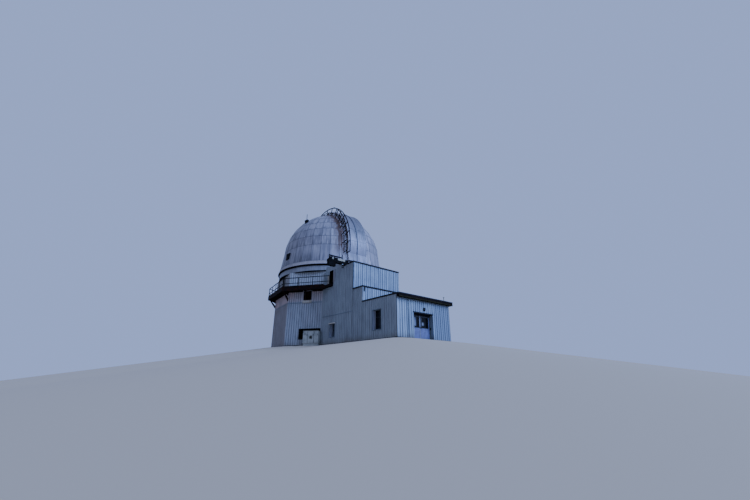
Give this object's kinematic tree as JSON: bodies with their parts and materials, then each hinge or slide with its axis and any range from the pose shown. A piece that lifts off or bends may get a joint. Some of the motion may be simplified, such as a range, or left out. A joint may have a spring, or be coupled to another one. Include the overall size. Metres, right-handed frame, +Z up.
{
  "type": "observatory building with a turning dome",
  "caption": "Observatory: eight-sided clad tower with a balcony, a turning dome with a slit shutter and ladder, and a stepped annex with a front double door.",
  "frame": {"origin": "on the dome's vertical axis, at the lowest ground level", "axes": "+X along the annex's front wall, to the right as seen from the front; +Y from the front door towards the tower; +Z up, the dome's axis"},
  "size_m": [15.3222, 24.7811, 18.7845],
  "materials": {
    "tower_cladding": "ribbed sheet, matt grey-blue, weathered",
    "wall_cladding": "ribbed sheet, matt light blue-grey, weathered",
    "roof_felt": "bitumen felt and dark stained fascia boards",
    "concrete": "cast concrete",
    "dome_sheet": "dull lapped sheet, streaked",
    "rusty_steel": "dark paint, rusted through",
    "dark_metal": "dark grey paint, matt",
    "door_paint": "lavender-blue paint, worn",
    "glass": "dusty dark window glass"
  },
  "bodies": {
    "building": {"tower_wall_front": "tower_cladding", "tower_wall_left": "tower_cladding", "tower_wall_back_left": "tower_cladding", "tower_wall_back": "tower_cladding", "tower_wall_back_right": "tower_cladding", "tower_wall_right": "tower_cladding", "tower_wall_front_right": "tower_cladding", "tower_wall_inner": "tower_cladding", "annex_left_wall": "wall_cladding", "annex_right_wall": "wall_cladding", "low_right_wall": "wall_cladding", "low_return_wall": "wall_cladding", "front_wall_left": "wall_cladding", "front_wall_right": "wall_cladding", "front_wall_lintel": "wall_cladding", "mid_front_wall": "wall_cladding", "high_front_wall": "wall_cladding", "small_window_hood": "wall_cladding", "tower_ring": "wall_cladding", "equipment_cabinet": "wall_cladding", "platform_kick_plate": "wall_cladding", "wall_upstand": "wall_cladding", "low_roof": "roof_felt", "mid_roof": "roof_felt", "high_roof": "roof_felt", "tower_floor": "concrete", "tower_upper_floor": "concrete", "annex_floor": "concrete", "annex_upper_floor": "concrete", "balcony_deck": "rusty_steel", "balcony_rail_front": "rusty_steel", "balcony_rail_left": "rusty_steel", "balcony_rail_back": "rusty_steel", "balcony_rail_right": "rusty_steel", "platform_deck": "rusty_steel", "platform_rail": "rusty_steel", "louvre_window_front": "dark_metal", "louvre_window_back": "dark_metal", "louvre_window_right": "dark_metal", "air_intake": "dark_metal", "balcony_door": "dark_metal", "door_frame": "door_paint", "side_window": "glass", "small_window": "glass"},
    "dome": {"dome_skirt": "dome_sheet", "dome_shell_left": "dome_sheet", "dome_shell_right": "dome_sheet", "slit_rail_left": "dome_sheet", "slit_rail_right": "dome_sheet", "dome_ladder": "rusty_steel", "dome_hatch": "dark_metal", "dome_mast": "dark_metal"},
    "shutter": {"shutter": "dome_sheet"},
    "door_left": {"door_leaf_left": "door_paint", "door_glass_left": "glass"},
    "door_right": {"door_leaf_right": "door_paint", "door_glass_right": "glass"}
  },
  "joints": [
    {"name": "dome_turn", "type": "hinge", "parent": "building", "child": "dome", "pos_m": [0, 0, 9.09], "axis": [0, 0, 1], "continuous": true},
    {"name": "shutter_lift", "type": "hinge", "parent": "dome", "child": "shutter", "pos_m": [0, 0, 11.6], "axis": [-0.9956, 0.0941, 0], "range_deg": [0, 80]},
    {"name": "door_left_swing", "type": "hinge", "parent": "building", "child": "door_left", "pos_m": [-2.126, -16.361, 1.17], "axis": [0, 0, 1], "range_deg": [0, 90]},
    {"name": "door_right_swing", "type": "hinge", "parent": "building", "child": "door_right", "pos_m": [0.286, -16.361, 1.17], "axis": [0, 0, -1], "range_deg": [0, 90]}
  ]
}
